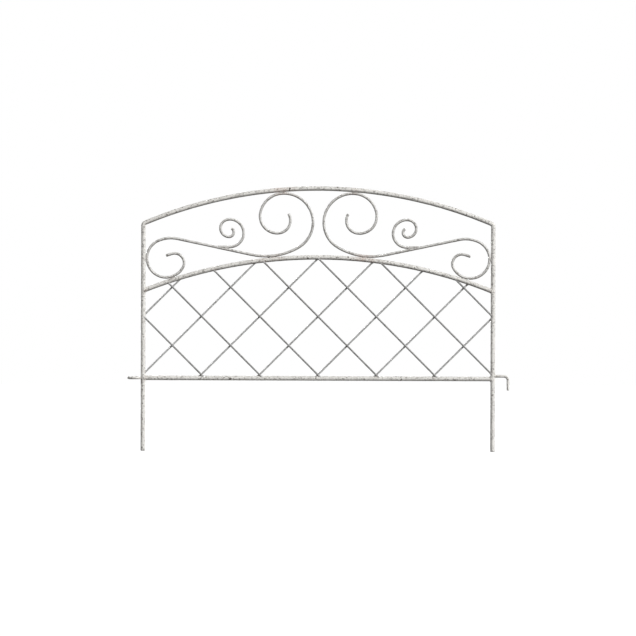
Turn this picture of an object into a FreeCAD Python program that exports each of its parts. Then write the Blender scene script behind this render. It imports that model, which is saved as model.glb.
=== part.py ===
import FreeCAD, Part
import math
import os

# A panel of wire garden edging, 24 in wide and 18 in high.
# Millimetres. X runs along the fence, Y to the back, Z up.
# The origin is the middle of the left leg's cut end, which goes in the ground.

# Bar that each piece is bent or cut from. Round bar is made with flat sides that
# touch its circle, and one side always faces the front, so bars meet side to side.
frame_bar_d = 7.94
frame_bar_sides = 12
scroll_bar_d = 4.76
scroll_bar_sides = 8
lattice_wire_d = 3.175
lattice_wire_sides = 8
link_bar_d = 4.76
link_bar_sides = 8

# Outer frame: one bar bent into two legs and a bowed top
leg_spacing = 609.6
corner_bend_r = 6.0
top_arch_rise = 61.9

# Heights are stacked from the ground: rail, lattice band, lower arch, scroll band.
# The lattice band ends where the lower arch meets the legs, and the scroll band
# runs from the lower arch's crown to the top arch's crown.
bottom_rail_height = 127.0
lattice_band_height = 152.0
lower_arch_rise = 59.0
scroll_band_height = 120.0
# the tips of a shaped bar end are cut off square, this far from the leg's middle
shaped_end_cut = 2.0

# Diamond lattice between the bottom rail and the lower arch
lattice_diamonds = 6
# a wire that would be lower than this at its leg is left out of the corner
shortest_wire_drop = 25.0

# Scroll, from the tip by the leg to the tip by the middle. Angles run from +X
# towards +Z, and each step is what a bend's radius loses at the change.
small_volute_end_length = 10.3
small_volute_tip_r = 16.6
small_volute_tip_to = 107.7
small_volute_tip_from = -29.0
small_volute_r = 33.4
shoulder_from = 113.0
shoulder_r = 54.7
low_bend_r = 115.4
volute_spacing = 14.0
volute_above_arch = 6.2
big_volute_inner_from = 97.0
big_volute_inner_step = 9.4
big_volute_core_from = 172.0
big_volute_core_step = 11.1
big_volute_tip_from = 277.0
big_volute_tip_step = 7.7
big_volute_tip_to = 392.0

# Curl: a small spiral above the S-line. Its tail runs level into the S-line and is
# shaped to lie on it, which leaves a wedge that ends this thick.
curl_seat_from_end = 45.0
curl_tail_end_thickness = 0.9
curl_r = 24.0
curl_inner_from = 98.0
curl_inner_r = 15.2
curl_tip_from = 270.0
curl_tip_r = 8.0
curl_tip_to = 419.0

# Link to the next panel: an eye on the left leg and a hook on the right leg
eye_hole_d = 13.8
hook_reach = 26.7
hook_drop = 20.0
hook_bend_r = 7.2

# Sizes that follow from the ones above
frame_bar_r = frame_bar_d / 2
scroll_bar_r = scroll_bar_d / 2
lattice_wire_r = lattice_wire_d / 2
link_bar_r = link_bar_d / 2
frame_bar = (frame_bar_d, frame_bar_sides)
scroll_bar = (scroll_bar_d, scroll_bar_sides)
lattice_wire = (lattice_wire_d, lattice_wire_sides)
link_bar = (link_bar_d, link_bar_sides)
half_width = leg_spacing / 2
bar_to_scroll = frame_bar_r + scroll_bar_r
lower_arch_end_height = bottom_rail_height + lattice_band_height
lower_arch_crown = lower_arch_end_height + lower_arch_rise
top_arch_crown = lower_arch_crown + scroll_band_height
lattice_pitch = leg_spacing / lattice_diamonds
# the lowest crossings of the lattice lie on the bottom rail
low_crossing = bottom_rail_height + frame_bar_r + lattice_wire_r * math.sqrt(2)

X_AXIS = FreeCAD.Vector(1, 0, 0)
Y_AXIS = FreeCAD.Vector(0, 1, 0)
Z_AXIS = FreeCAD.Vector(0, 0, 1)
HALF_TURN = 180
RIGHT_ANGLE = 90
FULL_TURN = 360


# A point of the panel's middle plane, or y in front of or behind it
def at(x, z, y=0.0):
    return FreeCAD.Vector(x, y, z)


# The point that lies a radius from a centre, at an angle from +X towards +Z
def around(centre, radius, angle):
    turn = math.radians(angle)
    return centre + at(radius * math.cos(turn), radius * math.sin(turn))


# The angle from +X towards +Z of the line from one point to another
def bearing(start, end):
    return math.degrees(math.atan2(end.z - start.z, end.x - start.x))


# The face that a bar starts from, square to the way it runs in the panel's plane
def bar_section(point, direction, bar):
    diameter, sides = bar
    across = direction.cross(Y_AXIS).normalize()
    half_side = math.pi / sides
    corner_r = diameter / 2 / math.cos(half_side)
    corners = []
    for count in range(sides + 1):
        turn = (2 * count + 1) * half_side
        corner = Y_AXIS * math.cos(turn) + across * math.sin(turn)
        corners.append(point + corner * corner_r)
    return Part.Face(Part.makePolygon(corners))


# A straight length of bar
def straight(start, end, bar):
    return bar_section(start, end - start, bar).extrude(end - start)


# A length of bar bent about a centre, from one angle to another
def bend(centre, radius, from_angle, to_angle, bar):
    start = around(centre, radius, from_angle)
    way = around(centre, radius, from_angle + RIGHT_ANGLE) - centre
    face = bar_section(start, way, bar)
    return face.revolve(centre, Y_AXIS, from_angle - to_angle)


# The centre of a bend that takes over from another one at an angle, smoothly
def next_centre(centre, radius, next_radius, angle):
    return around(centre, radius - next_radius, angle)


# One bar from its lengths, end to end
def join(lengths):
    return lengths[0].multiFuse(lengths[1:]).removeSplitter()


# The other half's copy of a piece, on the far side of the middle
def mirrored(shape):
    return shape.mirror(at(half_width, 0), X_AXIS)


# The radius and centre of an arch that springs from both legs
def arch_circle(crown, rise):
    radius = (half_width ** 2 + rise ** 2) / (2 * rise)
    return radius, at(half_width, crown - radius)


top_arch_r, top_arch_centre = arch_circle(top_arch_crown, top_arch_rise)
lower_arch_r, lower_arch_centre = arch_circle(lower_arch_crown, lower_arch_rise)
# how far from the lower arch's centre a scroll bar runs when it rests on the arch
on_lower_arch_r = lower_arch_r + bar_to_scroll


# Outer frame: leg, corner bend, bowed top, corner bend, leg
def make_outer_frame():
    reach = top_arch_r - corner_bend_r
    corner_rise = math.sqrt(reach ** 2 - (half_width - corner_bend_r) ** 2)
    corner = at(corner_bend_r, top_arch_centre.z + corner_rise)
    top_angle = bearing(top_arch_centre, corner)
    right_angle = HALF_TURN - top_angle
    leg = straight(at(0, 0), at(0, corner.z), frame_bar)
    knee = bend(corner, corner_bend_r, top_angle, HALF_TURN, frame_bar)
    top = bend(top_arch_centre, top_arch_r, right_angle, top_angle, frame_bar)
    return join([leg, knee, top, mirrored(knee), mirrored(leg)])


# Bottom rail: a straight bar whose ends are shaped to the legs
def make_bottom_rail(frame):
    left = at(shaped_end_cut, bottom_rail_height)
    right = at(leg_spacing - shaped_end_cut, bottom_rail_height)
    return straight(left, right, frame_bar).cut(frame)


# Lower arch: a bowed bar whose ends are shaped to the legs
def make_lower_arch(frame):
    reach = half_width - shaped_end_cut
    swing = math.degrees(math.asin(reach / lower_arch_r))
    right_end = RIGHT_ANGLE - swing
    left_end = RIGHT_ANGLE + swing
    arch = bend(lower_arch_centre, lower_arch_r, right_end, left_end, frame_bar)
    return arch.cut(frame)


# Lattice wire that falls to the right, cut to fit the bars that it ends on.
# It crosses the level of the lowest crossings at foot_x.
def make_falling_wire(foot_x, frame, rail, arch):
    line_sum = foot_x + low_crossing
    right_x = min(line_sum - bottom_rail_height, leg_spacing)
    # where the wire's line meets the lower arch's circle, above and to the left
    to_centre = lower_arch_centre.x + lower_arch_centre.z - line_sum
    off_line = to_centre / math.sqrt(2)
    along = math.sqrt(lower_arch_r ** 2 - off_line ** 2)
    foot_of_centre = lower_arch_centre.x - to_centre / 2
    left_x = max(foot_of_centre - along / math.sqrt(2), 0)
    wire = straight(
        at(left_x, line_sum - left_x, -lattice_wire_r),
        at(right_x, line_sum - right_x, -lattice_wire_r),
        lattice_wire,
    )
    return wire.cut([frame, rail, arch])


# Lattice: the front wires fall to the right, numbered from the left leg. The back
# layer is the front one turned half round about the panel's middle, so its wires
# fall to the left behind it and are numbered from the right leg.
def make_lattice(frame, rail, arch):
    room = leg_spacing + lower_arch_end_height - low_crossing - shortest_wire_drop
    wires = int(room / lattice_pitch)
    lattice = {}
    for number in range(1, wires + 1):
        front = make_falling_wire(number * lattice_pitch, frame, rail, arch)
        back = front.copy()
        back.rotate(at(half_width, 0), Z_AXIS, HALF_TURN)
        lattice[f"front_wire_{number}"] = front
        lattice[f"back_wire_{number}"] = back
    return lattice


# The small volute's circle rests against the leg and on the lower arch
def small_volute_centre():
    x = bar_to_scroll + small_volute_r
    reach = on_lower_arch_r + small_volute_r
    rise = math.sqrt(reach ** 2 - (half_width - x) ** 2)
    return at(x, lower_arch_centre.z + rise)


# The big volute's circle touches the top arch and keeps its distance from the lower
# arch and from the other volute. Its radius is found by halving the range it is in.
def big_volute_circle():
    side = volute_spacing / 2 + scroll_bar_r
    under_top_arch_r = top_arch_r - bar_to_scroll
    low, high = 0, scroll_band_height / 2
    while high - low > 1e-9:
        radius = (low + high) / 2
        reach = under_top_arch_r - radius
        rise = math.sqrt(reach ** 2 - (side + radius) ** 2)
        centre = at(half_width - side - radius, top_arch_centre.z + rise)
        drop = (centre - lower_arch_centre).Length - radius - on_lower_arch_r
        if drop > volute_above_arch:
            low = radius
        else:
            high = radius
    return centre, radius


# The low bend's circle rests on the lower arch and holds the big volute's circle,
# which touches it from inside
def low_bend_centre(big, big_r):
    reach = on_lower_arch_r + low_bend_r
    inside = low_bend_r - big_r
    span = (big - lower_arch_centre).Length
    cosine = (reach ** 2 + span ** 2 - inside ** 2) / (2 * reach * span)
    turn = math.degrees(math.acos(cosine))
    return around(lower_arch_centre, reach, bearing(lower_arch_centre, big) + turn)


# The S-line runs straight from the small volute's shoulder down to the low bend
def s_line():
    small = small_volute_centre()
    shoulder = next_centre(small, small_volute_r, shoulder_r, shoulder_from)
    low = low_bend_centre(*big_volute_circle())
    lean = math.asin((shoulder_r + low_bend_r) / (low - shoulder).Length)
    slope = bearing(shoulder, low) - math.degrees(lean)
    start = around(shoulder, shoulder_r, slope + RIGHT_ANGLE)
    end = around(low, low_bend_r, slope - RIGHT_ANGLE)
    return start, end, slope


# Small volute by the left leg, from its tip to where the S-line starts
def small_volute_lengths(slope):
    outer = small_volute_centre()
    outer_r = small_volute_r
    tip = next_centre(outer, outer_r, small_volute_tip_r, small_volute_tip_from)
    shoulder = next_centre(outer, outer_r, shoulder_r, shoulder_from)
    tip_to = small_volute_tip_to
    tip_start = around(tip, small_volute_tip_r, tip_to)
    tip_end = around(tip_start, small_volute_end_length, tip_to + RIGHT_ANGLE)
    outer_to = FULL_TURN + small_volute_tip_from
    bar = scroll_bar
    return [
        straight(tip_end, tip_start, bar),
        bend(tip, small_volute_tip_r, small_volute_tip_from, tip_to, bar),
        bend(outer, outer_r, shoulder_from, outer_to, bar),
        bend(shoulder, shoulder_r, slope + RIGHT_ANGLE, shoulder_from, bar),
    ]


# Low bend and big volute, from where the S-line ends to the tip by the middle
def big_volute_lengths(slope):
    outer, outer_r = big_volute_circle()
    low = low_bend_centre(outer, outer_r)
    outer_from = bearing(low, outer)
    inner_r = outer_r - big_volute_inner_step
    inner = next_centre(outer, outer_r, inner_r, big_volute_inner_from)
    core_r = inner_r - big_volute_core_step
    core = next_centre(inner, inner_r, core_r, big_volute_core_from)
    tip_r = core_r - big_volute_tip_step
    tip = next_centre(core, core_r, tip_r, big_volute_tip_from)
    bar = scroll_bar
    return [
        bend(low, low_bend_r, slope - RIGHT_ANGLE, outer_from, bar),
        bend(outer, outer_r, outer_from, big_volute_inner_from, bar),
        bend(inner, inner_r, big_volute_inner_from, big_volute_core_from, bar),
        bend(core, core_r, big_volute_core_from, big_volute_tip_from, bar),
        bend(tip, tip_r, big_volute_tip_from, big_volute_tip_to, bar),
    ]


# Scroll by the left leg, one bar from tip to tip
def make_scroll():
    start, end, slope = s_line()
    small = small_volute_lengths(slope)
    line = straight(start, end, scroll_bar)
    return join(small + [line] + big_volute_lengths(slope))


# Curl above the left S-line, one bar from its tail to its tip. Its circle is set so
# that, carried round, it would rest on the S-line at the seat. The tail leaves the
# circle at its lowest point.
def make_curl(scroll):
    end, slope = s_line()[1:]
    up = slope + RIGHT_ANGLE
    seat = around(end, -curl_seat_from_end, slope)
    outer = around(seat, scroll_bar_d + curl_r, up)
    lowest = around(outer, curl_r, -RIGHT_ANGLE)
    # the tail ends where its middle is the wedge's end thickness above the S-line's
    turn = math.radians(up)
    rise = (lowest.z - end.z) * math.sin(turn)
    tail_x = end.x - (rise - curl_tail_end_thickness) / math.cos(turn)
    inner = next_centre(outer, curl_r, curl_inner_r, curl_inner_from)
    tip = next_centre(inner, curl_inner_r, curl_tip_r, curl_tip_from)
    curl = join([
        straight(at(tail_x, lowest.z), lowest, scroll_bar),
        bend(outer, curl_r, -RIGHT_ANGLE, curl_inner_from, scroll_bar),
        bend(inner, curl_inner_r, curl_inner_from, curl_tip_from, scroll_bar),
        bend(tip, curl_tip_r, curl_tip_from, curl_tip_to, scroll_bar),
    ])
    return curl.cut(scroll)


# Link eye: a flat ring against the outside of the left leg, level with the rail
def make_link_eye():
    ring_r = eye_hole_d / 2 + link_bar_r
    middle = at(-frame_bar_r - link_bar_r - ring_r, bottom_rail_height)
    ring = bend(middle, ring_r, 0, FULL_TURN, link_bar)
    ring.rotate(middle, X_AXIS, RIGHT_ANGLE)
    return ring


# Link hook: a bar from the right leg, just above the level of the eye, that turns
# down into the next panel's eye. Its leg is truly round, because it turns there.
def make_link_hook(frame):
    run_height = bottom_rail_height + link_bar_d
    hook_end_height = bottom_rail_height - hook_drop
    leg_x = leg_spacing + hook_reach
    elbow = at(leg_x - hook_bend_r, run_height - hook_bend_r)
    leg_end = at(leg_x, hook_end_height)
    hook = join([
        straight(at(leg_spacing, run_height), at(elbow.x, run_height), link_bar),
        bend(elbow, hook_bend_r, 0, RIGHT_ANGLE, link_bar),
        Part.makeCylinder(link_bar_r, elbow.z - hook_end_height, leg_end),
    ])
    return hook.cut(frame)


# Every piece by name. The two curls are loose from each other and share a name.
def make_pieces():
    frame = make_outer_frame()
    rail = make_bottom_rail(frame)
    arch = make_lower_arch(frame)
    scroll = make_scroll()
    curl = make_curl(scroll)
    pieces = {
        "outer_frame": frame,
        "bottom_rail": rail,
        "lower_arch": arch,
        "left_scroll": scroll,
        "right_scroll": mirrored(scroll),
        "curls": Part.makeCompound([curl, mirrored(curl)]),
        "link_eye": make_link_eye(),
        "link_hook": make_link_hook(frame),
    }
    pieces.update(make_lattice(frame, rail, arch))
    return pieces


os.makedirs("parts", exist_ok=True)
for name, piece in make_pieces().items():
    piece.exportStep(os.path.join("parts", name + ".step"))
    print(name, "volume", round(piece.Volume, 1), "valid", piece.isValid())
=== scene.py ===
# %% [markdown]
# # A panel of wire garden edging
#
# This lesson dresses one welded fence panel: a bent frame with a bowed top, a
# straight bottom rail, a lower arch, a diamond lattice and four scrolls, all of
# round steel bar under an antique white enamel.
#
# The panel's pieces already exist as plain solids with flat-sided bars. Here each bar
# is drawn again as truly round, dented wire on the same middle line, the welds are
# laid where bars meet, and the enamel is mixed. Lengths are metres, X runs along the
# fence, Y goes to the back and Z is up.

# %% Load the solids and keep their box
import bpy
import math
import random
from mathutils import Matrix, Vector, noise


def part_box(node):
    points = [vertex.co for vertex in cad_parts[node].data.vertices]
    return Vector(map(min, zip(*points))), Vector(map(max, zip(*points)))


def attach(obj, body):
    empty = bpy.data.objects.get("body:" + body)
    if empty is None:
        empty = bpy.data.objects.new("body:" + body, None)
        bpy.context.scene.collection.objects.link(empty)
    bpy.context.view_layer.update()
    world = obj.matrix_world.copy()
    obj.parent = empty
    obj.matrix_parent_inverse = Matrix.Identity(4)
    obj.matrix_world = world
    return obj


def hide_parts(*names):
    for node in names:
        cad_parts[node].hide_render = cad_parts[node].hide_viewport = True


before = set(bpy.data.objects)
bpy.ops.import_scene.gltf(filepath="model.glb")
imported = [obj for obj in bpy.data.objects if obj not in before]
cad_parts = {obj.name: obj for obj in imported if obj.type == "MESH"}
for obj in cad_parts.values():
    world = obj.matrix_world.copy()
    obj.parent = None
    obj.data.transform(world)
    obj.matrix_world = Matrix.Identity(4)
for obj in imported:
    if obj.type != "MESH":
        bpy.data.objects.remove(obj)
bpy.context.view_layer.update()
mm = 0.001

# %% [markdown]
# ## The sizes that everything follows
#
# A welder starts from the legs, the rail and the two arches, because every other bar
# is held to them. Those heights could be typed again, but they are read from the
# solids' boxes, so a changed panel is dressed the same way. Only what a box can't
# say, such as how far an arch rises, is written as a number.

# %% Read the main bars from the solids
def bar_box(node):
    low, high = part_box(node)
    return low, high, (high.y - low.y) / 2


frame_low, frame_high, frame_bar_r = bar_box("outer_frame")
leg_spacing = frame_high.x - frame_low.x - 2 * frame_bar_r
half_width = leg_spacing / 2
crown_height = frame_high.z - frame_bar_r
rail_low, rail_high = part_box("bottom_rail")
rail_height = (rail_low.z + rail_high.z) / 2
lower_crown_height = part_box("lower_arch")[1].z - frame_bar_r
scroll_bar_r = bar_box("left_scroll")[2]
wire_r = bar_box("front_wire_4")[2]
top_arch_rise = 61.9 * mm
lower_arch_rise = 59.0 * mm
corner_bend_r = 6.0 * mm
bar_to_scroll = frame_bar_r + scroll_bar_r
print("legs", round(leg_spacing / mm, 1), "mm apart, crown", round(crown_height / mm, 1),
      "mm, rail", round(rail_height / mm, 1), "mm")


# %% [markdown]
# ## Drawing the middle line of a bent bar
#
# A bender makes every shape here from two moves only: a straight run, and a bend
# about a pin. So the middle lines are written the same way. Each run gives points a
# small step apart, and a bar's whole line is its runs one after another. A Blender
# curve could hold the same arcs, but points worked out here can also be dented,
# tapered and measured.

# %% Points of the panel's plane, runs and bends
def at(x, z, y=0.0):
    return Vector((x, y, z))


def around(centre, radius, angle):
    turn = math.radians(angle)
    return centre + at(radius * math.cos(turn), radius * math.sin(turn))


def bearing(start, end):
    return math.degrees(math.atan2(end.z - start.z, end.x - start.x))


def straight_run(start, end, step):
    count = max(1, round((end - start).length / step))
    return [start.lerp(end, i / count) for i in range(count + 1)]


def bend_run(centre, radius, from_angle, to_angle, step):
    length = abs(math.radians(to_angle - from_angle)) * radius
    count = max(3, round(length / step))
    sweep = to_angle - from_angle
    return [around(centre, radius, from_angle + sweep * i / count) for i in range(count + 1)]


def joined(*runs):
    line = list(runs[0])
    for run in runs[1:]:
        line.extend(run[1:])
    return line


def line_length(line):
    return sum((b - a).length for a, b in zip(line, line[1:]))


# %% [markdown]
# ## Turning a middle line into round bar
#
# A bar is a ring of points carried along its line. The ring stays square to the line,
# and since every bar here is bent in one plane, one side of the ring can always face
# the same way, which keeps it from twisting. The ends are sheared square with a small
# worn edge, so the last rings draw in before the cap closes them.
#
# The hammered look of the real bar comes from shallow dents. They only go inwards,
# because the bar's true size is what the enamel hides.

# %% Carry a ring along a line
def unit_tangents(line, closed):
    last = len(line) - 1
    tangents = []
    for i in range(len(line)):
        ahead = line[(i + 1) % len(line)] if closed else line[min(i + 1, last)]
        behind = line[i - 1] if closed or i else line[0]
        tangents.append((ahead - behind).normalized())
    return tangents


def carry_ring(line, radii, up, sides, closed=False, shape=None):
    verts, faces = [], []
    for i, (point, tangent) in enumerate(zip(line, unit_tangents(line, closed))):
        across = tangent.cross(up).normalized()
        rise = across.cross(tangent)
        for k in range(sides):
            turn = math.tau * k / sides
            outward = across * math.cos(turn) + rise * math.sin(turn)
            radius = radii[i]
            if shape:
                radius = shape(point + outward * radius, radius)
            verts.append(point + outward * radius)
    rings = len(line)
    for i in range(rings if closed else rings - 1):
        for k in range(sides):
            a, b = i * sides, ((i + 1) % rings) * sides
            n = (k + 1) % sides
            faces.append((a + k, a + n, b + n, b + k))
    if not closed:
        faces.append(tuple(range(sides - 1, -1, -1)))
        faces.append(tuple((rings - 1) * sides + k for k in range(sides)))
    return verts, faces


# %% Dents of a hammered bar
dent_depth = 0.22 * mm
dent_width = 9.0 * mm
pit_depth = 0.06 * mm
pit_width = 2.2 * mm


def dented(point, radius):
    wide = noise.noise(point / dent_width)
    fine = noise.noise(point / pit_width)
    return radius - dent_depth * max(0.0, wide) - pit_depth * max(0.0, fine)


# %% Make a piece from rings, with worn ends
def make_piece(name, verts, faces):
    mesh = bpy.data.meshes.new(name)
    mesh.from_pydata(verts, [], faces)
    mesh.validate()
    mesh.shade_smooth()
    piece = bpy.data.objects.new(name, mesh)
    bpy.context.scene.collection.objects.link(piece)
    return piece


# Each ring of a worn end: how deep it lies and how wide it is, as shares of the radius.
worn_end = [(0.0, 0.80), (0.10, 0.93), (0.28, 1.0)]
clear_of_end = 0.5


def with_worn_ends(line, radius):
    first = (line[1] - line[0]).normalized()
    last = (line[-2] - line[-1]).normalized()
    front = [line[0] + first * (radius * deep) for deep, wide in worn_end]
    back = [line[-1] + last * (radius * deep) for deep, wide in reversed(worn_end)]
    clear = radius * clear_of_end
    middle = [p for p in line[1:-1]
              if (p - line[0]).length > clear and (p - line[-1]).length > clear]
    widths = [radius * wide for deep, wide in worn_end]
    radii = widths + [radius] * len(middle) + widths[::-1]
    return front + middle + back, radii


to_back = Vector((0, 1, 0))
scroll_sides = 16


def make_bar(name, line, radius, up=to_back, sides=scroll_sides):
    rings, radii = with_worn_ends(line, radius)
    verts, faces = carry_ring(rings, radii, up, sides, shape=dented)
    return make_piece(name, verts, faces)


# %% [markdown]
# ## The frame, the rail and the lower arch
#
# The outer frame is one long bar: up the left leg, round a tight bend, over the bowed
# top and down the right leg. An arch that springs from both legs is a piece of a
# circle, and its radius follows from the span and the rise, so no radius is typed.
# The rail and the lower arch run into the legs' middles, where the welds hide them.

# %% Arches from their crown and rise
frame_step = 1.6 * mm
frame_sides = 24


def arch_circle(crown, rise):
    radius = (half_width ** 2 + rise ** 2) / (2 * rise)
    return radius, at(half_width, crown - radius)


top_r, top_centre = arch_circle(crown_height, top_arch_rise)
lower_r, lower_centre = arch_circle(lower_crown_height, lower_arch_rise)
on_lower_arch_r = lower_r + bar_to_scroll
print("top arch radius", round(top_r / mm), "mm, lower arch radius", round(lower_r / mm), "mm")


# %% Mirror a line, and the frame's own line
def mirrored(line):
    return [at(leg_spacing - p.x, p.z, p.y) for p in reversed(line)]


corner_reach = top_r - corner_bend_r
corner_rise = math.sqrt(corner_reach ** 2 - (half_width - corner_bend_r) ** 2)
corner = at(corner_bend_r, top_centre.z + corner_rise)
corner_angle = bearing(top_centre, corner)
left_side = joined(
    straight_run(at(0, 0), at(0, corner.z), frame_step),
    bend_run(corner, corner_bend_r, 180, corner_angle, frame_step / 3),
)
top_line = bend_run(top_centre, top_r, corner_angle, 180 - corner_angle, frame_step)
frame_line = joined(left_side, top_line, mirrored(left_side))
outer_frame = make_bar("outer_frame_bar", frame_line, frame_bar_r, sides=frame_sides)
print("frame bar, straightened:", round(line_length(frame_line), 3), "m")

# %% The rail and the lower arch
rail_line = straight_run(at(0, rail_height), at(leg_spacing, rail_height), frame_step)
bottom_rail = make_bar("bottom_rail_bar", rail_line, frame_bar_r, sides=frame_sides)
lower_swing = math.degrees(math.asin(half_width / lower_r))
arch_line = bend_run(lower_centre, lower_r, 90 + lower_swing, 90 - lower_swing, frame_step)
lower_arch = make_bar("lower_arch_bar", arch_line, frame_bar_r, sides=frame_sides)
print("rail", round(line_length(rail_line), 3), "m, arch", round(line_length(arch_line), 3), "m")


# %% [markdown]
# ## The lattice
#
# Two layers of thin wire cross at right angles. The front layer falls to the right and
# the back layer to the left, and where they cross they are welded with one electric
# pinch. Six diamonds fill the width, and the lowest crossings lie on the rail. One
# function places a front wire, and the back layer is the front one turned half round,
# as a worker would turn a finished mat of wire over.

# %% Where each wire runs
lattice_diamonds = 6
wires_in_a_layer = 7
wire_step = 1.2 * mm
wire_sides = 14
pitch = leg_spacing / lattice_diamonds
low_crossing = rail_height + frame_bar_r + wire_r * math.sqrt(2)


def falling_wire_ends(number):
    line_sum = number * pitch + low_crossing
    right_x = min(line_sum - rail_height, leg_spacing)
    to_centre = lower_centre.x + lower_centre.z - line_sum
    along = math.sqrt(lower_r ** 2 - to_centre ** 2 / 2)
    left_x = max(lower_centre.x - to_centre / 2 - along / math.sqrt(2), 0.0)
    return (at(left_x, line_sum - left_x, -wire_r), at(right_x, line_sum - right_x, -wire_r))


def turned_back(point):
    return Vector((leg_spacing - point.x, -point.y, point.z))


# %% Draw both layers
lattice = {}
wire_lines = {}
for number in range(1, wires_in_a_layer + 1):
    high_end, low_end = falling_wire_ends(number)
    front_line = straight_run(high_end, low_end, wire_step)
    wire_lines[f"front_wire_{number}"] = front_line
    wire_lines[f"back_wire_{number}"] = [turned_back(p) for p in front_line]
for name, line in wire_lines.items():
    lattice[name] = make_bar(name + "_bar", line, wire_r, sides=wire_sides)
print("lattice wires:", len(lattice))

# %% [markdown]
# ## The scrolls
#
# Each big scroll is one bar bent from tip to tip. From the leg inwards it is a small
# volute that rests against the leg and on the lower arch, a shoulder, a long straight
# run, a low bend that rests on the lower arch, and a big volute that hangs from the
# top arch. A smith keeps such a line smooth by never letting one bend meet the next
# at an angle, so every bend here starts where the last one ends, on a shared radius.

# %% Sizes of the scroll, from the tip by the leg to the tip by the middle
small_volute_end_length = 10.3 * mm
small_volute_tip_r = 16.6 * mm
small_volute_tip_to = 107.7
small_volute_tip_from = -29.0
small_volute_r = 33.4 * mm
shoulder_from = 113.0
shoulder_r = 54.7 * mm
low_bend_r = 115.4 * mm
volute_spacing = 14.0 * mm
volute_above_arch = 6.2 * mm
big_volute_turns = [(97.0, 9.4 * mm), (172.0, 11.1 * mm), (277.0, 7.7 * mm)]
big_volute_tip_to = 392.0
scroll_step = 1.2 * mm


# %% Where the circles of the scroll lie
def next_centre(centre, radius, next_radius, angle):
    return around(centre, radius - next_radius, angle)


def small_volute_centre():
    x = bar_to_scroll + small_volute_r
    reach = on_lower_arch_r + small_volute_r
    return at(x, lower_centre.z + math.sqrt(reach ** 2 - (half_width - x) ** 2))


def big_volute_circle():
    side = volute_spacing / 2 + scroll_bar_r
    low, high = 0.0, (crown_height - lower_crown_height) / 2
    while high - low > 1e-9:
        radius = (low + high) / 2
        reach = top_r - bar_to_scroll - radius
        rise = math.sqrt(reach ** 2 - (side + radius) ** 2)
        centre = at(half_width - side - radius, top_centre.z + rise)
        drop = (centre - lower_centre).length - radius - on_lower_arch_r
        if drop > volute_above_arch:
            low = radius
        else:
            high = radius
    return centre, radius


def low_bend_centre(big, big_r):
    reach = on_lower_arch_r + low_bend_r
    span = (big - lower_centre).length
    cosine = (reach ** 2 + span ** 2 - (low_bend_r - big_r) ** 2) / (2 * reach * span)
    turn = math.degrees(math.acos(cosine))
    return around(lower_centre, reach, bearing(lower_centre, big) + turn)


small = small_volute_centre()
shoulder = next_centre(small, small_volute_r, shoulder_r, shoulder_from)
big, big_r = big_volute_circle()
low_bend = low_bend_centre(big, big_r)
lean = math.asin((shoulder_r + low_bend_r) / (low_bend - shoulder).length)
slope = bearing(shoulder, low_bend) - math.degrees(lean)
s_start = around(shoulder, shoulder_r, slope + 90)
s_end = around(low_bend, low_bend_r, slope - 90)
print("big volute", round(big_r / mm, 1), "mm in radius, S-line slopes", round(slope, 1))


# %% One line from tip to tip
def scroll_line():
    tip = next_centre(small, small_volute_r, small_volute_tip_r, small_volute_tip_from)
    tip_start = around(tip, small_volute_tip_r, small_volute_tip_to)
    tip_end = around(tip_start, small_volute_end_length, small_volute_tip_to + 90)
    outer_to = 360 + small_volute_tip_from
    big_from = bearing(low_bend, big)
    runs = [
        straight_run(tip_end, tip_start, scroll_step),
        bend_run(tip, small_volute_tip_r, small_volute_tip_to, small_volute_tip_from, scroll_step),
        bend_run(small, small_volute_r, outer_to, shoulder_from, scroll_step),
        bend_run(shoulder, shoulder_r, shoulder_from, slope + 90, scroll_step),
        straight_run(s_start, s_end, scroll_step),
        bend_run(low_bend, low_bend_r, slope - 90, big_from, scroll_step),
    ]
    centre, radius, angle = big, big_r, big_from
    for next_angle, step_in in big_volute_turns:
        runs.append(bend_run(centre, radius, angle, next_angle, scroll_step))
        centre = next_centre(centre, radius, radius - step_in, next_angle)
        radius, angle = radius - step_in, next_angle
    runs.append(bend_run(centre, radius, angle, big_volute_tip_to, scroll_step))
    return joined(*runs)


left_scroll_line = scroll_line()
left_scroll = make_bar("left_scroll_bar", left_scroll_line, scroll_bar_r)
right_scroll = make_bar("right_scroll_bar", mirrored(left_scroll_line), scroll_bar_r)
print("scroll bar, straightened:", round(line_length(left_scroll_line), 3), "m")

# %% [markdown]
# ## The curls
#
# A smaller spiral rides on each S-line. Its bar comes down, runs level into the S-line
# and is ground to a long wedge that lies on it. Grinding could be copied by cutting one
# mesh with the other, but the wedge is hidden under the weld, so here the tail's rings
# are simply pressed flat: none of their points goes below the S-line's upper side.

# %% Curl sizes and line
curl_seat_from_end = 45.0 * mm
curl_tail_end_thickness = 0.9 * mm
curl_r = 24.0 * mm
curl_inner_from = 98.0
curl_inner_r = 15.2 * mm
curl_tip_from = 270.0
curl_tip_r = 8.0 * mm
curl_tip_to = 419.0

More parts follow.
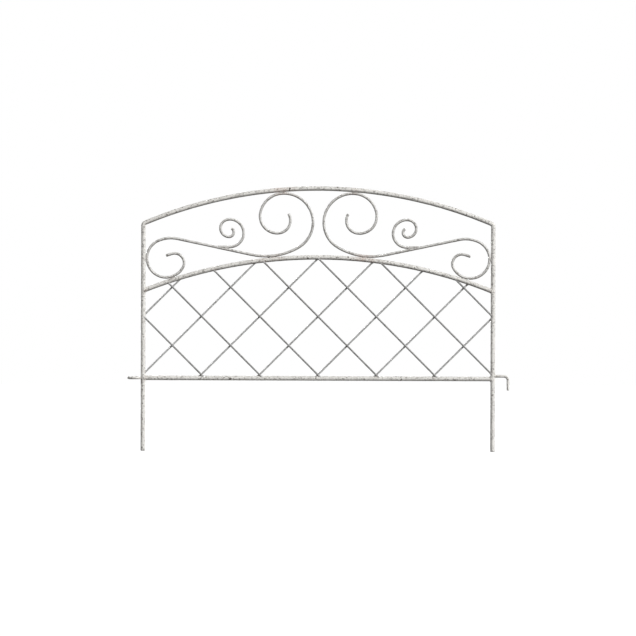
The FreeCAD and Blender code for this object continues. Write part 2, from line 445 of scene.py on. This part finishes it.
up_from_s_line = around(at(0, 0), 1.0, slope + 90)
curl_seat = around(s_end, -curl_seat_from_end, slope)
curl_outer = around(curl_seat, 2 * scroll_bar_r + curl_r, slope + 90)
curl_lowest = around(curl_outer, curl_r, -90)
tail_rise = (curl_lowest.z - s_end.z) * up_from_s_line.z - curl_tail_end_thickness
tail_end = at(s_end.x - tail_rise / up_from_s_line.x, curl_lowest.z)
curl_inner = next_centre(curl_outer, curl_r, curl_inner_r, curl_inner_from)
curl_tip = next_centre(curl_inner, curl_inner_r, curl_tip_r, curl_tip_from)
left_curl_line = joined(
    straight_run(tail_end, curl_lowest, scroll_step / 2),
    bend_run(curl_outer, curl_r, -90, curl_inner_from, scroll_step),
    bend_run(curl_inner, curl_inner_r, curl_inner_from, curl_tip_from, scroll_step),
    bend_run(curl_tip, curl_tip_r, curl_tip_from, curl_tip_to, scroll_step),
)
print("curl bar, straightened:", round(line_length(left_curl_line), 3), "m")


# %% Lay the tail on the S-line
tail_seat_depth = 0.15 * mm
tail_angle = 12


def rest_on_s_line(verts):
    lowest_above = math.cos(math.radians(tail_angle)) * tail_seat_depth
    rested = []
    for vert in verts:
        above = (vert - s_end).dot(up_from_s_line)
        side = min(1.0, abs(vert.y) / scroll_bar_r)
        surface = scroll_bar_r * math.sqrt(1 - side * side)
        if vert.x < curl_lowest.x and above < surface:
            vert = vert + up_from_s_line * (surface - above - lowest_above)
        rested.append(vert)
    return rested


def make_curl(name, flip):
    rings, radii = with_worn_ends(left_curl_line, scroll_bar_r)
    verts, faces = carry_ring(rings, radii, to_back, scroll_sides, shape=dented)
    verts = rest_on_s_line(verts)
    if flip:
        verts = [Vector((leg_spacing - v.x, v.y, v.z)) for v in verts]
        faces = [tuple(reversed(face)) for face in faces]
    return make_piece(name, verts, faces)


left_curl = make_curl("left_curl_bar", flip=False)
right_curl = make_curl("right_curl_bar", flip=True)

# %% [markdown]
# ## The hook and the eye
#
# Panels link at their legs: a ring on the left leg takes the hook of the next panel.
# The ring is a closed line, so its rings of points join up and it has no ends. The
# hook is a short run, a tight bend and a straight leg that drops through the eye.

# %% Make the link
eye_low, eye_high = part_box("link_eye")
hook_low, hook_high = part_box("link_hook")
link_bar_r = (eye_high.z - eye_low.z) / 2
eye_centre = (eye_low + eye_high) / 2
eye_ring_r = (eye_high.x - eye_low.x) / 2 - link_bar_r
hook_bend_r = 7.2 * mm
link_step = 0.6 * mm

eye_points = round(math.tau * eye_ring_r / link_step)
eye_line = []
for i in range(eye_points):
    turn = math.tau * i / eye_points
    eye_line.append(eye_centre + Vector((math.cos(turn), math.sin(turn), 0)) * eye_ring_r)
upward = Vector((0, 0, 1))
verts, faces = carry_ring(
    eye_line, [link_bar_r] * eye_points, upward, scroll_sides, closed=True, shape=dented)
link_eye = make_piece("link_eye_bar", verts, faces)

run_height = hook_high.z - link_bar_r
hook_x = hook_high.x - link_bar_r
elbow = at(hook_x - hook_bend_r, run_height - hook_bend_r)
hook_line = joined(
    straight_run(at(leg_spacing, run_height), at(elbow.x, run_height), link_step),
    bend_run(elbow, hook_bend_r, 90, 0, link_step),
    straight_run(at(hook_x, elbow.z), at(hook_x, hook_low.z), link_step),
)
link_hook = make_bar("link_hook_bar", hook_line, link_bar_r)
print("eye", round(eye_ring_r / mm, 2), "mm in radius")
print("hook, straightened:", round(line_length(hook_line), 4), "m")


# %% [markdown]
# ## Welds
#
# Where a bar's end meets another bar, a thin bead runs round the joint. Where two
# bars only touch side by side, a short spindle of metal fills the groove in front and
# behind. Seen close, a bead is a row of overlapping puddles, so its thickness ripples
# along its length. Beads are carried rings too, only much thinner ones.

# %% Ripples and lumps of a bead
ripple_length = 1.1 * mm
ripple_share = 0.06
lump_share = 0.25
lump_length = 4 * mm
least_bead_r = 0.05 * mm
dice = random.Random(24)


def bead_radius(radius, along, seed):
    ripple = 1 + ripple_share * math.sin(math.tau * along / ripple_length)
    lump = 1 + lump_share * noise.noise(Vector((along / lump_length, seed, 0)))
    return radius * ripple * lump


def gather(parts):
    verts, faces = [], []
    for part_verts, part_faces in parts:
        start = len(verts)
        verts.extend(part_verts)
        faces.extend(tuple(start + i for i in face) for face in part_faces)
    return verts, faces


# %% A spindle in the groove between two bars that touch
bead_step = 0.35 * mm
spindle_sides = 10


def spindle(point, along, groove, offset, length, thick):
    centre = point + groove * offset
    count = round(length / bead_step)
    seed = dice.uniform(0, 50)
    line, radii = [], []
    for i in range(count + 1):
        s = -1 + 2 * i / count
        line.append(centre + along * (s * length / 2))
        full = math.sqrt(max(0.0, 1 - s * s)) * thick
        radii.append(max(least_bead_r, bead_radius(full, i * bead_step, seed)))
    return carry_ring(line, radii, groove, spindle_sides)


def groove_spindles(point, along, length, thick=0.9 * mm, offset=1.6 * mm):
    along = along.normalized()
    front = Vector((0, -1, 0))
    return [spindle(point, along, front, offset, length * dice.uniform(0.8, 1.15), thick),
            spindle(point, along, -front, offset, length * dice.uniform(0.8, 1.15), thick)]


# %% A collar round the end of a bar that meets a leg
collar_thick = 0.85 * mm
collar_sides = 8
collar_width = 1.04
collar_wrap = 0.8
collar_lift = 0.1 * mm


def leg_collar(leg_x, height, bar_r, inward, tilt=0.0):
    count = round(math.tau * bar_r / bead_step)
    seed = dice.uniform(0, 50)
    line, radii = [], []
    for i in range(count):
        turn = math.tau * i / count
        y = bar_r * collar_width * math.cos(turn)
        z = bar_r * collar_width * math.sin(turn)
        x = math.sqrt(max(0.0, frame_bar_r ** 2 - (collar_wrap * y) ** 2)) + collar_lift
        line.append(at(leg_x + inward * x, height + z + x * tilt, y))
        radii.append(bead_radius(collar_thick, i * bead_step, seed))
    return carry_ring(line, radii, Vector((1, 0, 0)), collar_sides, closed=True)


# %% A cuff where a wire's end runs into a bar
cuff_rings = 9
cuff_sides = 12
cuff_length = 5.0 * mm
cuff_flare = 0.9 * mm
cuff_sunk_share = 0.6
cuff_fade = 1.6
cuff_tuck = 0.04 * mm


def wire_cuff(surface, outward):
    line, radii = [], []
    seed = dice.uniform(0, 50)
    for i in range(cuff_rings + 1):
        s = i / cuff_rings
        line.append(surface + outward * (cuff_length * (s - cuff_sunk_share)))
        swell = cuff_flare * (1 - s) ** cuff_fade * bead_radius(1.0, s * cuff_length, seed)
        radii.append(wire_r + swell - cuff_tuck * s)
    return carry_ring(line, radii, to_back, cuff_sides)


# %% The pinch weld where two wires cross, and the neck between two round bars
disc_rings = 8
disc_sides = 16
disc_fullness = 3
least_disc_r = 0.1 * mm
pinch_r = 1.75 * mm
pinch_depth = 0.75 * mm


def melted_disc(point, through, wide, deep):
    line, radii = [], []
    for i in range(disc_rings + 1):
        s = -1 + 2 * i / disc_rings
        line.append(point + through * (s * deep))
        full = math.sqrt(max(0.0, 1 - abs(s) ** disc_fullness))
        radii.append(max(least_disc_r, wide * full))
    return carry_ring(line, radii, upward, disc_sides)


def pinch_weld(point):
    return melted_disc(point, to_back, pinch_r * dice.uniform(0.9, 1.1), pinch_depth)


# %% [markdown]
# ## Laying the welds
#
# The welds follow from the same lines as the bars. Their places are kept in a list,
# because later the enamel is stained with a little rust round each of them: heat and
# spatter leave the thinnest paint there.

# %% Welds of the frame, rail and arch
weld_spots = []


def note(point, reach=7 * mm, strength=0.65):
    weld_spots.append(
        (point, reach * dice.uniform(0.6, 1.3), strength * dice.uniform(0.55, 1.5)))


arch_end_height = lower_crown_height - lower_arch_rise
arch_end_slope = math.tan(math.radians(lower_swing))
frame_welds = []
for leg_x, inward in ((0.0, 1), (leg_spacing, -1)):
    frame_welds.append(leg_collar(leg_x, rail_height, frame_bar_r, inward))
    frame_welds.append(
        leg_collar(leg_x, arch_end_height, frame_bar_r, inward, tilt=arch_end_slope))
    note(at(leg_x + inward * frame_bar_r, rail_height, -frame_bar_r), strength=0.2)
    note(at(leg_x + inward * frame_bar_r, arch_end_height, -frame_bar_r), strength=0.3)
frame_weld = make_piece("frame_welds", *gather(frame_welds))
print("frame welds:", len(frame_welds))


# %% Welds of the lattice
falling = Vector((1, 0, -1)).normalized()
out_of_arch = 1.3
out_of_rail = 1.35
wire_welds = []
for number in range(1, wires_in_a_layer + 1):
    high_end, low_end = falling_wire_ends(number)
    ends = [(high_end + falling * (frame_bar_r * out_of_arch), falling),
            (low_end - falling * (frame_bar_r * out_of_rail), -falling)]
    for surface, outward in ends:
        wire_welds.append(wire_cuff(surface, outward))
        wire_welds.append(wire_cuff(
            turned_back(surface), turned_back(outward) - turned_back(Vector())))
        note(surface, 4 * mm, 0.4)
        note(turned_back(surface), 4 * mm, 0.4)
crossings = 0
for front in range(1, wires_in_a_layer + 1):
    high_end, low_end = falling_wire_ends(front)
    for back in range(1, wires_in_a_layer + 1):
        total = front * pitch + low_crossing
        back_total = back * pitch + low_crossing
        x = (total - back_total + leg_spacing) / 2
        z = total - x
        back_high = turned_back(falling_wire_ends(back)[0])
        inside = high_end.x < x < low_end.x - frame_bar_r and x < back_high.x
        if inside and low_end.z + frame_bar_r < z and x > frame_bar_r:
            wire_welds.append(pinch_weld(at(x, z)))
            crossings += 1
lattice_weld = make_piece("lattice_welds", *gather(wire_welds))
print("lattice welds:", len(wire_welds), "of them crossings:", crossings)

# %% Welds of the scrolls and curls
scroll_welds = []
scorch_reach = 15 * mm
left_contacts = [
    (at(frame_bar_r, small.z), Vector((0, 0, 1)), 7 * mm, 6 * mm, 0.2),
    (lower_centre + (small - lower_centre).normalized() * (lower_r + frame_bar_r),
     (small - lower_centre).cross(Vector((0, 1, 0))), 7 * mm, 6 * mm, 0.2),
    (lower_centre + (low_bend - lower_centre).normalized() * (lower_r + frame_bar_r),
     (low_bend - lower_centre).cross(Vector((0, 1, 0))), 14 * mm, scorch_reach, 1.0),
    (top_centre + (big - top_centre).normalized() * (top_r - frame_bar_r),
     (big - top_centre).cross(Vector((0, 1, 0))), 13 * mm, scorch_reach, 1.0),
]
run_direction = (s_end - s_start).normalized()
tail_foot = tail_end - up_from_s_line * (curl_tail_end_thickness - scroll_bar_r)
for share, length in ((0.1, 5 * mm), (0.75, 9 * mm)):
    point = tail_foot.lerp(curl_lowest - up_from_s_line * scroll_bar_r, share)
    left_contacts.append((point, run_direction, length, 6 * mm, 0.3))
for point, along, length, reach, strength in left_contacts:
    for spot, way in ((point, along), (mirrored([point])[0], Vector((-along.x, 0, along.z)))):
        scroll_welds.extend(groove_spindles(spot, way, length))
        note(spot, reach, strength)
scroll_weld = make_piece("scroll_welds", *gather(scroll_welds))
print("scroll welds:", len(scroll_welds))

# %% Welds of the hook and the eye
link_welds = [leg_collar(leg_spacing, run_height, link_bar_r, 1)]
eye_contact = at(-frame_bar_r, eye_centre.z)
neck_r = 2.1 * mm
neck_depth = 1.1 * mm
link_welds.append(melted_disc(eye_contact, Vector((1, 0, 0)), neck_r, neck_depth))
for side in (-1, 1):
    link_welds.append(spindle(
        eye_contact, to_back, upward * side, offset=1.5 * mm, length=5.0 * mm, thick=0.8 * mm))
note(eye_contact, strength=0.3)
note(at(leg_spacing + frame_bar_r, run_height), strength=0.3)
link_weld = make_piece("link_welds", *gather(link_welds))
print("weld places kept for the stain:", len(weld_spots))

# %% [markdown]
# ## Where rust shows through
#
# A stain could be painted by hand, but it follows a simple rule: it is strongest at a
# weld and fades within a finger's width. So every vertex gets one number, its
# closeness to the nearest weld, and the enamel reads that number. Where the big
# volutes and the low bends were welded on, the heat spread furthest. A second number
# does the same for the chips, which are placed one by one.

# %% Give every vertex its closeness to a weld
pieces = [outer_frame, bottom_rail, lower_arch, left_scroll, right_scroll, left_curl,
          right_curl, link_eye, link_hook, frame_weld, lattice_weld, scroll_weld, link_weld]
pieces += list(lattice.values())


farthest_reaches = 3


def closeness(point):
    best = 0.0
    for spot, reach, strength in weld_spots:
        away = (point - spot).length_squared
        if away < (farthest_reaches * reach) ** 2:
            best = max(best, strength * math.exp(-away / (reach * reach)))
    return best


def mark(piece, attribute, value_at):
    layer = piece.data.attributes.new(attribute, "FLOAT", "POINT")
    layer.data.foreach_set("value", [value_at(v.co) for v in piece.data.vertices])


for piece in pieces:
    mark(piece, "weld_stain", closeness)
print("stained pieces:", len(pieces))

# %% Chips in the enamel of the arches and the rail
chip_reach = 3.2 * mm
chip_front = -frame_bar_r * 0.8
chips = []


def chip_on_arch(centre, radius, x, side):
    z = centre.z + math.sqrt(radius ** 2 - (x - centre.x) ** 2)
    chips.append(at(x, z + side * frame_bar_r, chip_front))


for x, side in ((57.3, -0.4), (254.0, -0.6), (254.5, 0.3), (338.0, 0.7), (342.0, -0.5)):
    chip_on_arch(top_centre, top_r, x * mm, side)
for x, side in ((287.0, -0.3), (357.0, 0.4), (360.5, -0.4)):
    chip_on_arch(lower_centre, lower_r, x * mm, side)
for x in (151.5, 449.5, 543.5):
    chips.append(at(x * mm, rail_height - frame_bar_r / 2, chip_front))


def chipped(point):
    nearest = min((point - chip).length for chip in chips)
    return max(0.0, 1 - nearest / chip_reach)


for piece in pieces:
    mark(piece, "chip", chipped)
print("chips:", len(chips))

# %% [markdown]
# ## The enamel
#
# Antique white is a warm white under a dark glaze that was wiped off again. It stays in
# faint clouds, in specks and in small pits. The undersides are darkened too, and that is
# painted shade. Welds add a breath of pink brown rust, and a few chips show bare steel.
# Each layer is a noise of its own size, a vertex number or the way the surface faces,
# laid over the white with a mix node, and the same noises make the surface uneven, so
# that colour and relief agree as they do on real paint.
#
# The scrolls wear a darker copy of the enamel than the frame, the back wires a darker one
# still and the front wires the darkest, matched to how dark each looks. These darker
# copies are painted shade on the thin bars. It doesn't show why, so a thinner, greyer
# coat is assumed.

# %% Small helpers for node trees
def new_material(name):
    material = bpy.data.materials.new(name)
    material.use_nodes = True
    tree = material.node_tree
    tree.nodes.clear()
    return material, tree


def noise_node(tree, coordinates, scale, detail, roughness=0.55):
    node = tree.nodes.new("ShaderNodeTexNoise")
    node.inputs["Scale"].default_value = scale
    node.inputs["Detail"].default_value = detail
    node.inputs["Roughness"].default_value = roughness
    tree.links.new(coordinates, node.inputs["Vector"])
    return node.outputs["Fac"]


def stepped(tree, value, low, high, to_low=0.0, to_high=1.0):
    node = tree.nodes.new("ShaderNodeMapRange")
    node.interpolation_type = "SMOOTHSTEP"
    for socket, number in (("From Min", low), ("From Max", high),
                           ("To Min", to_low), ("To Max", to_high)):
        node.inputs[socket].default_value = number
    tree.links.new(value, node.inputs["Value"])
    return node.outputs["Result"]


def layered(tree, share, under, over):
    node = tree.nodes.new("ShaderNodeMix")
    node.data_type = "RGBA"
    tree.links.new(share, node.inputs["Factor"])
    for socket, colour in (("A", under), ("B", over)):
        target = [s for s in node.inputs if s.name == socket and s.type == "RGBA"][0]
        if isinstance(colour, tuple):
            target.default_value = (*colour, 1)
        else:
            tree.links.new(colour, target)
    return [s for s in node.outputs if s.type == "RGBA"][0]


def calculated(tree, operation, *values):
    node = tree.nodes.new("ShaderNodeMath")
    node.operation = operation
    for socket, value in zip(node.inputs, values):
        if isinstance(value, (int, float)):
            socket.default_value = value
        else:
            tree.links.new(value, socket)
    return node.outputs[0]


# %% Mix the enamel
antique_white = (0.76, 0.745, 0.71)
rubbed_grey = (0.33, 0.315, 0.29)
# Painted shade: the scroll colours are a darker copy of the antique white, for the shade on the
# scroll bars.
scroll_shaded_white = (0.66, 0.65, 0.627)
scroll_shaded_grey = (0.25, 0.24, 0.228)
# Painted shade: the wire colours are darker copies of the antique white, the front layer darkest,
# for the shade on the thin wires.
front_wire_shaded_white = (0.30, 0.30, 0.297)
front_wire_shaded_grey = (0.14, 0.14, 0.138)
back_wire_shaded_white = (0.50, 0.50, 0.495)
back_wire_shaded_grey = (0.30, 0.30, 0.296)
# This dark colour is dirt in the pits and also painted shade on the undersides.
pit_dirt_and_underside_shade = (0.16, 0.145, 0.13)
rust_pink = (0.46, 0.27, 0.20)
bare_rust = (0.17, 0.075, 0.04)
bare_steel = (0.09, 0.075, 0.065)
speck_grey = (0.19, 0.18, 0.165)
speck_share = 0.85
dirt_share = 0.75

# Noise scales, each one over the size of a patch in metres.
cloud_scale = 130
speck_scale = 330
pit_scale = 620
grain_scale = 2400
bump_depth = 0.35 * mm
bump_strength = 0.8
smoothest, roughest = 0.42, 0.72


def make_enamel(name, white, grey, grey_share, rust_share, underside_shade_share):
    material, tree = new_material(name)
    place = tree.nodes.new("ShaderNodeTexCoord").outputs["Object"]
    clouds = noise_node(tree, place, cloud_scale, 3)
    specks = noise_node(tree, place, speck_scale, 3, 0.6)
    pits = noise_node(tree, place, pit_scale, 4, 0.65)
    grain = noise_node(tree, place, grain_scale, 3)
    facing = tree.nodes.new("ShaderNodeSeparateXYZ")
    normal = tree.nodes.new("ShaderNodeNewGeometry").outputs["Normal"]
    tree.links.new(normal, facing.inputs[0])
    weld = tree.nodes.new("ShaderNodeAttribute")
    weld.attribute_name = "weld_stain"
    near_weld = weld.outputs["Fac"]

    rubbed = calculated(tree, "MULTIPLY", stepped(tree, clouds, 0.50, 0.66), grey_share)
    colour = layered(tree, rubbed, white, grey)
    speckled = calculated(tree, "MULTIPLY", stepped(tree, specks, 0.55, 0.63), speck_share)
    colour = layered(tree, speckled, colour, speck_grey)
    # Painted shade: surfaces that face down are darkened towards the dark pit colour, for the
    # shade under each bar.
    under = stepped(tree, facing.outputs["Z"], 0.05, -0.75, 0.0, underside_shade_share)
    colour = layered(tree, under, colour, pit_dirt_and_underside_shade)
    dirt = calculated(tree, "MULTIPLY", stepped(tree, pits, 0.58, 0.70), dirt_share)
    colour = layered(tree, dirt, colour, pit_dirt_and_underside_shade)
    blush = calculated(tree, "MULTIPLY", near_weld, stepped(tree, clouds, 0.30, 0.62))
    blush = calculated(tree, "MULTIPLY", blush, rust_share)
    colour = layered(tree, blush, colour, rust_pink)
    flecks = calculated(tree, "MULTIPLY", near_weld, stepped(tree, pits, 0.52, 0.64))
    flecks = calculated(tree, "MULTIPLY", flecks, rust_share)
    colour = layered(tree, flecks, colour, bare_rust)

    chip = tree.nodes.new("ShaderNodeAttribute")
    chip.attribute_name = "chip"
    ragged = calculated(tree, "MULTIPLY", specks, 1.1)
    bare = calculated(tree, "ADD", chip.outputs["Fac"], ragged)
    colour = layered(tree, stepped(tree, bare, 0.98, 1.06), colour, bare_steel)

    relief = calculated(tree, "ADD", calculated(tree, "MULTIPLY", pits, 0.5),
                        calculated(tree, "MULTIPLY", grain, 0.2))
    bump = tree.nodes.new("ShaderNodeBump")
    bump.inputs["Distance"].default_value = bump_depth
    bump.inputs["Strength"].default_value = bump_strength
    tree.links.new(relief, bump.inputs["Height"])

    shader = tree.nodes.new("ShaderNodeBsdfPrincipled")
    tree.links.new(colour, shader.inputs["Base Color"])
    roughness = stepped(tree, pits, 0.3, 0.7, smoothest, roughest)
    tree.links.new(roughness, shader.inputs["Roughness"])
    tree.links.new(bump.outputs["Normal"], shader.inputs["Normal"])
    shader.inputs["Specular IOR Level"].default_value = 0.35
    output = tree.nodes.new("ShaderNodeOutputMaterial")
    tree.links.new(shader.outputs["BSDF"], output.inputs["Surface"])
    return material


# The last number of each enamel is how much painted shade its undersides get.
frame_enamel = make_enamel("frame_enamel", antique_white, rubbed_grey, 0.3, 0.3, 0.6)
rail_enamel = make_enamel("rail_enamel", antique_white, rubbed_grey, 0.3, 0.3, 0.05)
scroll_shaded_enamel = make_enamel("scroll_shaded_enamel", scroll_shaded_white, scroll_shaded_grey, 0.4, 0.2, 1.0)
front_wire_shaded_enamel = make_enamel(
    "front_wire_shaded_enamel", front_wire_shaded_white, front_wire_shaded_grey, 0.6, 0.1, 0.3)
back_wire_shaded_enamel = make_enamel(
    "back_wire_shaded_enamel", back_wire_shaded_white, back_wire_shaded_grey, 0.6, 0.1, 0.3)
print("enamels mixed")

# %% [markdown]
# ## Dress each piece
#
# Each drawn bar now takes the place of its plain solid, rides on the root body, and wears
# its enamel. A quick measure of a few boxes against their solids' boxes prints how far
# they have drifted.

# %% Colours and the solids they stand for
def dress(piece, enamel, slot_name, *nodes):
    piece.data.materials.append(enamel)
    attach(piece, "root")
    if nodes:
        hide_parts(*nodes)


def drift(piece, node):
    low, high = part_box(node)
    corners = [v.co for v in piece.data.vertices]
    gaps = [abs(min(c[a] for c in corners) - low[a]) for a in range(3)]
    gaps += [abs(max(c[a] for c in corners) - high[a]) for a in range(3)]
    return max(gaps) / mm


dress(outer_frame, frame_enamel, "frame_paint", "outer_frame")
dress(bottom_rail, rail_enamel, "frame_paint", "bottom_rail")
dress(lower_arch, frame_enamel, "frame_paint", "lower_arch")
dress(left_scroll, scroll_shaded_enamel, "scroll_paint", "left_scroll")
dress(right_scroll, scroll_shaded_enamel, "scroll_paint", "right_scroll")
dress(left_curl, scroll_shaded_enamel, "scroll_paint", "curls")
dress(right_curl, scroll_shaded_enamel, "scroll_paint", "curls")
dress(link_eye, frame_enamel, "frame_paint", "link_eye")
dress(link_hook, frame_enamel, "frame_paint", "link_hook")
for name, piece in lattice.items():
    enamel = front_wire_shaded_enamel if name.startswith("front") else back_wire_shaded_enamel
    dress(piece, enamel, "lattice_paint", name)
dress(frame_weld, frame_enamel, "frame_paint")
dress(lattice_weld, back_wire_shaded_enamel, "lattice_paint")
dress(scroll_weld, scroll_shaded_enamel, "scroll_paint")
dress(link_weld, frame_enamel, "frame_paint")
for piece, node in ((outer_frame, "outer_frame"), (left_scroll, "left_scroll"),
                    (right_scroll, "right_scroll"), (link_hook, "link_hook"),
                    (link_eye, "link_eye"), (lattice["front_wire_4"], "front_wire_4")):
    print(node, "box differs by at most", round(drift(piece, node), 2), "mm")

# %% [markdown]
# ## Floor, light and camera
#
# The panel stands on a pale floor. The strongest light comes from the upper right and
# a little in front, so that each round bar has a bright upper side and a dark lower
# one, as in the photo. A weak lamp from the left keeps the dark sides readable, and one
# behind does the same for the back. They are far lamps, which light both ends of the
# fence alike. The background is white only to the camera and in gloss, so it adds no
# light of its own to the bars.

# %% A white floor that keeps the shadow
floor_size = 8.0
floor_grey = 0.15
floor_lift = 0.95
floor_mesh = bpy.data.meshes.new("studio_floor")
half = floor_size / 2
floor_mesh.from_pydata(
    [(-half, -half, 0), (half, -half, 0), (half, half, 0), (-half, half, 0)], [], [(0, 1, 2, 3)])
floor = bpy.data.objects.new("studio_floor", floor_mesh)
floor.location = (half_width, 0, 0)
bpy.context.scene.collection.objects.link(floor)

floor_paint, tree = new_material("floor_paint")
matte = tree.nodes.new("ShaderNodeBsdfDiffuse")
matte.inputs["Color"].default_value = (floor_grey, floor_grey, floor_grey, 1)
lift = tree.nodes.new("ShaderNodeEmission")
rays = tree.nodes.new("ShaderNodeLightPath")
seen = calculated(tree, "MAXIMUM", rays.outputs["Is Camera Ray"], rays.outputs["Is Glossy Ray"])
tree.links.new(calculated(tree, "MULTIPLY", seen, floor_lift), lift.inputs["Strength"])
both = tree.nodes.new("ShaderNodeAddShader")
tree.links.new(matte.outputs[0], both.inputs[0])
tree.links.new(lift.outputs[0], both.inputs[1])
output = tree.nodes.new("ShaderNodeOutputMaterial")
tree.links.new(both.outputs[0], output.inputs["Surface"])
floor.data.materials.append(floor_paint)

# %% The even fill, white to the camera
fill_level = 0.05
world = bpy.data.worlds.new("studio")
bpy.context.scene.world = world
world.use_nodes = True
tree = world.node_tree
tree.nodes.clear()
rays = tree.nodes.new("ShaderNodeLightPath")
direct = calculated(tree, "MAXIMUM", rays.outputs["Is Camera Ray"], rays.outputs["Is Glossy Ray"])
direct = calculated(tree, "MAXIMUM", direct, rays.outputs["Is Transmission Ray"])
level = stepped(tree, direct, 0.0, 1.0, fill_level, 1.0)
sky = tree.nodes.new("ShaderNodeBackground")
sky.inputs["Color"].default_value = (1, 1, 1, 1)
tree.links.new(level, sky.inputs["Strength"])
output = tree.nodes.new("ShaderNodeOutputWorld")
tree.links.new(sky.outputs[0], output.inputs["Surface"])

# %% Three far lamps: key, side and back
def far_lamp(name, direction, width, level):
    data = bpy.data.lights.new(name, "SUN")
    data.angle = math.radians(width)
    data.energy = level
    lamp = bpy.data.objects.new(name, data)
    lamp.rotation_mode = "QUATERNION"
    lamp.rotation_quaternion = Vector(direction).to_track_quat("Z", "Y")
    bpy.context.scene.collection.objects.link(lamp)


far_lamp("key_lamp", (0.68, -0.58, 0.46), 24, 3.8)
far_lamp("side_lamp", (-0.97, -0.20, 0.0), 60, 1.4)
far_lamp("back_lamp", (-0.10, 0.98, 0.15), 24, 2.6)

# %% [markdown]
# ## The camera
#
# The panel was photographed flat on from far away, so the two legs stay parallel. A
# long lens at eight metres does the same. The picture leans by a fifth of a degree,
# and so does the camera.

# %% Place the camera
picture_width = 1.1084
camera_distance = 8.0
camera_elevation = 0.8
picture_lean = 0.2
aim = at(304.7 * mm, 232.3 * mm)
camera_data = bpy.data.cameras.new("studio_camera")
camera_data.sensor_width = 36.0
camera_data.lens = camera_data.sensor_width * camera_distance / picture_width
camera_data.clip_end = 50
camera = bpy.data.objects.new("studio_camera", camera_data)
tilt = math.radians(camera_elevation)
back = Vector((0, -math.cos(tilt), math.sin(tilt)))
camera.location = aim + back * camera_distance
camera.rotation_mode = "QUATERNION"
lean_turn = Matrix.Rotation(math.radians(picture_lean), 3, "Z").to_quaternion()
camera.rotation_quaternion = (-back).to_track_quat("-Z", "Y") @ lean_turn
bpy.context.scene.collection.objects.link(camera)
bpy.context.scene.camera = camera
bpy.context.scene.view_settings.view_transform = "Standard"
print("lens", round(camera_data.lens, 1), "mm")

# %% Finish
bpy.context.view_layer.update()
